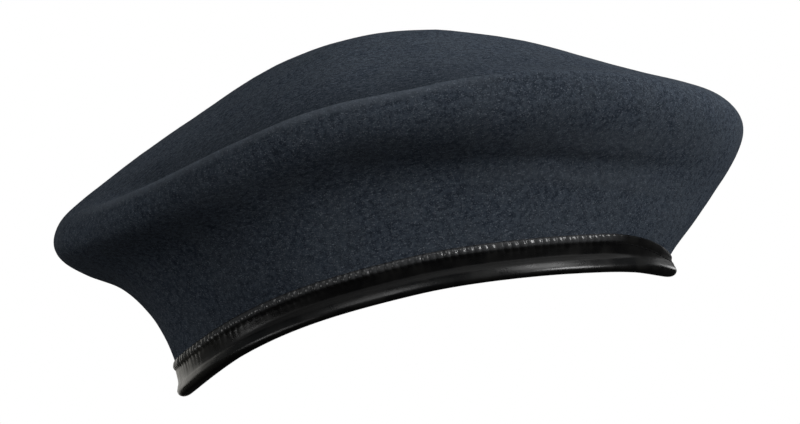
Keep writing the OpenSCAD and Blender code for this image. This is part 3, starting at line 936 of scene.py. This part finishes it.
def lining_side():
    """The panel from the binding up to the rim, with soft upright folds."""
    rows = np.linspace(0.05, RIM_ROW - 0.02, 64)
    free = bell((rows - 4.2) / 2.2)[None, :]

    def folds(base):
        return 1.3 * (0.5 + 0.5 * ripple(base * np.array([1, 1, 0.25]), 11, 1.3)) * free

    outer, inner = lining_panel(300, rows, folds, lining_depth(rows)[None, :])
    piece = shell("lining_side_cloth", outer, inner, LINING)
    lay_uv(piece, 110)
    punch(piece, VENTS, VENT_HOLE)
    stand_in(piece, "lining_side")
    return piece


def lining_top():
    """The round panel under the crown, which sags a little."""
    rows = np.concatenate([[RIM_ROW + 0.02], np.linspace(RIM_ROW + 0.15, TOP_ROW - 0.15, 44)])
    free = bell((rows - 9.2) / 2.6)[None, :]

    def sag(base):
        return 1.6 * (0.5 + 0.5 * ripple(base, 24, 8.4)) * free

    outer, inner = lining_panel(240, rows, sag, LINING_DEEP)
    top = np.array([0, 0, outer[:, -1, 2].mean() + 0.01])
    piece = shell("lining_top_cloth", outer, inner, LINING, True, [top, top - [0, 0, LINING_T]])
    lay_uv(piece, 90)
    stand_in(piece, "lining_top")
    return piece


def lining_seam():
    """Small stitches where the two panels meet."""
    runs = []
    for i in range(LINING_STITCHES):
        steps = np.linspace(0.15, 0.85, 6)
        lift = np.array([-0.1, 0.15, 0.22, 0.22, 0.15, -0.1])
        angles = (i + steps) * 360 / LINING_STITCHES
        runs.append(on_crown(angles, RIM_ROW, LINING_DEEP + LINING_T + 0.25 + lift))
    piece = stitches("lining_seam_stitches", runs, 0.16, THREAD, 6)
    stand_in(piece, "lining_seam_thread")


def patch(name, angles, rows, depth, thickness, material):
    """A small sheet laid under the felt at a depth."""
    spot, out = spline(controls(angles), rows)
    outer = lift_to_3d(angles, spot - depth * out)
    inner = lift_to_3d(angles, spot - (depth + thickness) * out)
    piece = shell(name, outer, inner, material, False)
    lay_uv(piece, 105)
    return piece


def stiffener():
    """The sheet behind the badge place."""
    angles, rows = np.linspace(*STIFFENER_ANGLES, 40), np.linspace(*STIFFENER_ROWS, 30)
    piece = patch("badge_stiffener_buckram", angles, rows, STIFFENER_DEPTH, STIFFENER_T, BUCKRAM)
    stand_in(piece, "badge_stiffener")
    return piece


def label():
    """A blank size label at the nape, with a row of stitches along each long edge."""
    angles, rows = np.linspace(*LABEL_ANGLES, 30), np.linspace(*LABEL_ROWS, 14)
    piece = patch("size_label_cloth", angles, rows, LABEL_DEPTH, LABEL_T, LABEL)
    stand_in(piece, "size_label")
    runs = []
    pitch = 2 * LABEL_SEAM_REACH / LABEL_STITCHES
    for row in LABEL_SEAM_ROWS:
        for i in range(LABEL_STITCHES):
            angles = (i + np.linspace(0.15, 0.85, 6)) * pitch - LABEL_SEAM_REACH
            lift = np.array([-0.1, 0.1, 0.16, 0.16, 0.1, -0.1])
            runs.append(on_crown(angles, row, LABEL_DEPTH + LABEL_T + lift))
    thread = stitches("label_stitches", runs, 0.14, LABEL_THREAD, 6)
    stand_in(thread, "label_thread")
    return piece


# ---------------------------------------------------------------- vents
def eyelets():
    """Rolled flange outside, barrel through the felt and the lining, and a curled end on the washer."""
    bore, barrel, flange = 2.3, 2.8, 4.7
    washer_top = -4.45
    turns = np.linspace(-1.4, 1.4, 7)
    dome = [(flange - 0.02 + 0.18 * math.cos(t), 0.05 + 0.2 * math.sin(t)) for t in turns]
    lip = [(bore + 0.32 - 0.32 * math.cos(t), 0.02 + 0.42 * math.sin(t)) for t in np.linspace(1.5, 0, 6)]
    for side, place in zip(("front", "rear"), VENTS):
        profile = [(barrel, -0.15), (flange - 0.3, -0.15)] + dome + [(3.9, 0.42), (3.2, 0.5)] + lip
        profile += [(bore, -2.0), (bore, washer_top - 0.6)]
        profile += [(2.5, washer_top - 0.85), (3.3, washer_top - 0.85), (3.8, washer_top - 0.65)]
        profile += [(3.75, washer_top - 0.47), (barrel, washer_top - 0.47)]
        piece = lathe(f"eyelet_{side}_turned", profile, place, LACQUER)
        stand_in(piece, f"eyelet_{side}")
        low = washer_top - 0.4
        ring = [(barrel + 0.06, low), (4.7, low), (4.88, low + 0.1), (4.9, low + 0.3), (4.75, washer_top)]
        ring += [(3.6, washer_top), (barrel + 0.06, washer_top)]
        washer = lathe(f"eyelet_washer_{side}_turned", ring, place, BRASS)
        stand_in(washer, f"eyelet_washer_{side}")


felt = felt_crown()
strip = leather_strip()
binding_threads()
drawstring()
side_cloth = lining_side()
top_cloth = lining_top()
lining_seam()
buckram = stiffener()
tag = label()
eyelets()


# ---------------------------------------------------------------- floor and light
def camera_only(shader_tree, seen, lit):
    """Mixes two shaders: the camera sees the first, and light meets the second."""
    path = shader_tree.nodes.new("ShaderNodeLightPath")
    mix = shader_tree.nodes.new("ShaderNodeMixShader")
    shader_tree.links.new(path.outputs["Is Camera Ray"], mix.inputs[0])
    shader_tree.links.new(lit.outputs[0], mix.inputs[1])
    shader_tree.links.new(seen.outputs[0], mix.inputs[2])
    return mix.outputs[0]


def floor():
    """Plain white floor, 0.2 m below the beret, which a head would hold up."""
    size, depth = 12, -0.2
    corners = [(-size, -size, depth), (size, -size, depth), (size, size, depth), (-size, size, depth)]
    mesh = bpy.data.meshes.new("floor")
    mesh.from_pydata(corners, [], [(0, 1, 2, 3)])
    plane = bpy.data.objects.new("floor", mesh)
    bpy.context.collection.objects.link(plane)
    material = bpy.data.materials.new("floor_white")
    material.use_nodes = True
    tree = material.node_tree
    tree.nodes.remove(tree.nodes["Principled BSDF"])
    seen = tree.nodes.new("ShaderNodeEmission")
    seen.inputs["Strength"].default_value = 1.0
    lit = tree.nodes.new("ShaderNodeBsdfDiffuse")
    lit.inputs["Color"].default_value = (0.03, 0.03, 0.03, 1)
    output = tree.nodes["Material Output"]
    tree.links.new(camera_only(tree, seen, lit), output.inputs["Surface"])
    mesh.materials.append(material)


def world():
    """White where the camera sees it, and a dim grey room for the light."""
    sky = bpy.data.worlds.new("studio")
    bpy.context.scene.world = sky
    sky.use_nodes = True
    tree = sky.node_tree
    lit = tree.nodes["Background"]
    lit.inputs["Color"].default_value = (0.9, 0.95, 1.0, 1)
    lit.inputs["Strength"].default_value = 0.06
    seen = tree.nodes.new("ShaderNodeBackground")
    seen.inputs["Color"].default_value = (1, 1, 1, 1)
    tree.links.new(camera_only(tree, seen, lit), tree.nodes["World Output"].inputs["Surface"])


def softbox(name, azimuth, elevation, size, power, colour=(1, 1, 1), distance=1.35):
    """A square soft light. Azimuth is seen from above: 0 is the camera's side, 90 is the beret's back."""
    data = bpy.data.lights.new(name, "AREA")
    data.shape = "SQUARE"
    data.size = size
    data.energy = power
    data.color = colour
    lamp = bpy.data.objects.new(name, data)
    around, up = math.radians(azimuth), math.radians(elevation)
    way = Vector((math.cos(up) * math.sin(around), -math.cos(up) * math.cos(around), math.sin(up)))
    lamp.location = Vector((0, 0, 0.06)) + distance * way
    lamp.rotation_euler = way.to_track_quat("Z", "Y").to_euler()
    lamp.visible_camera = False
    bpy.context.collection.objects.link(lamp)


floor()
world()
softbox("key", 60, 6, 0.50, 6.5)
softbox("top_right", 62, 38, 0.50, 2.6)
softbox("top_left", 345, 32, 0.55, 1.5)
softbox("fill_left", 302, -8, 0.50, 1.9)
softbox("back_left", 212, 9, 1.25, 3.0, (1, 0.97, 0.90))
softbox("back_right", 150, 5, 0.50, 1.2)
scene = bpy.context.scene
scene.view_settings.view_transform = "Standard"
scene.view_settings.look = "None"
